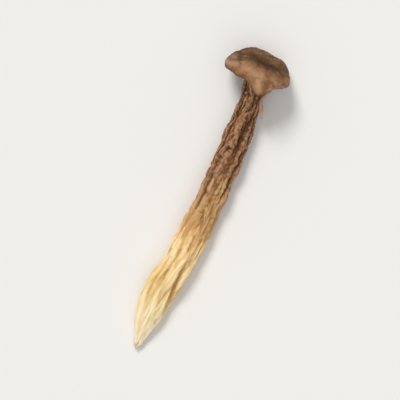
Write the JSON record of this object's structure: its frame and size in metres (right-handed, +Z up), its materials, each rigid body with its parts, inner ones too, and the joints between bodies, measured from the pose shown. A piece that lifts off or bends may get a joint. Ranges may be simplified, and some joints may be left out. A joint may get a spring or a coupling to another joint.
{
  "type": "dried mushroom",
  "caption": "Dried long-stemmed mushroom lying on its side, with a wrinkled stem torn at the foot and a small gilled cap.",
  "frame": {"origin": "on the surface that the mushroom lies on, under the middle of its bounding box", "axes": "+Y along the stem from the torn foot to the cap, +Z up, +X to the right seen from above with the cap away"},
  "size_m": [0.0242, 0.1158, 0.019],
  "materials": {
    "dried_mushroom": "dry, matt and wrinkled: cream at the foot, tan and brown towards the cap"
  },
  "bodies": {
    "root": {"mushroom": "dried_mushroom"}
  },
  "joints": []
}
